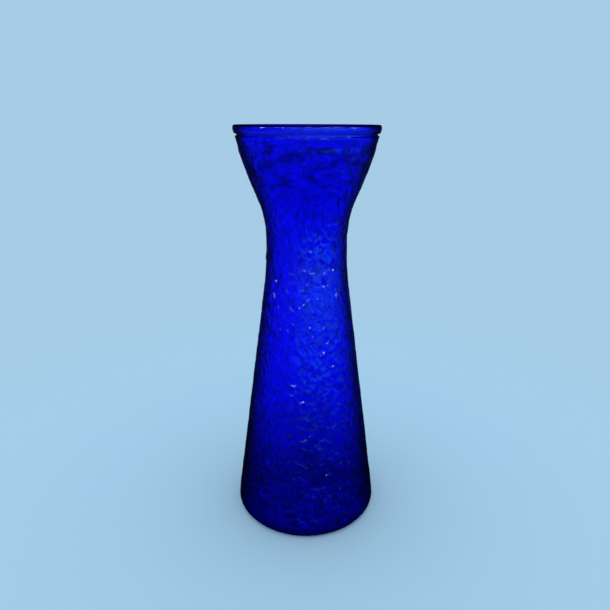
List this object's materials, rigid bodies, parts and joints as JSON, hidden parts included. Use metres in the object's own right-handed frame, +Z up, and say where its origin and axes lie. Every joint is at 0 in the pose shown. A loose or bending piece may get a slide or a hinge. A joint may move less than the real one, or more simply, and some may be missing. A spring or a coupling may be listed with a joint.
{
  "type": "hyacinth forcing vase",
  "caption": "Hyacinth forcing vase of cobalt-blue crackled glass: flared bulb cup, narrow waist and tapered root chamber on a flat foot.",
  "frame": {"origin": "on the vase's axis, at the level of the surface that the foot stands on", "axes": "+Z up along the axis, towards the mouth; X and Y are level and interchangeable"},
  "size_m": [0.0778, 0.0778, 0.205],
  "materials": {
    "cobalt_glass": "transparent cobalt blue, crackle relief outside, fire-polished rim"
  },
  "bodies": {
    "root": {"foot_ring": "cobalt_glass", "base": "cobalt_glass", "root_chamber": "cobalt_glass", "waist": "cobalt_glass", "bulb_cup": "cobalt_glass", "collar": "cobalt_glass", "rim_band": "cobalt_glass"}
  },
  "joints": []
}
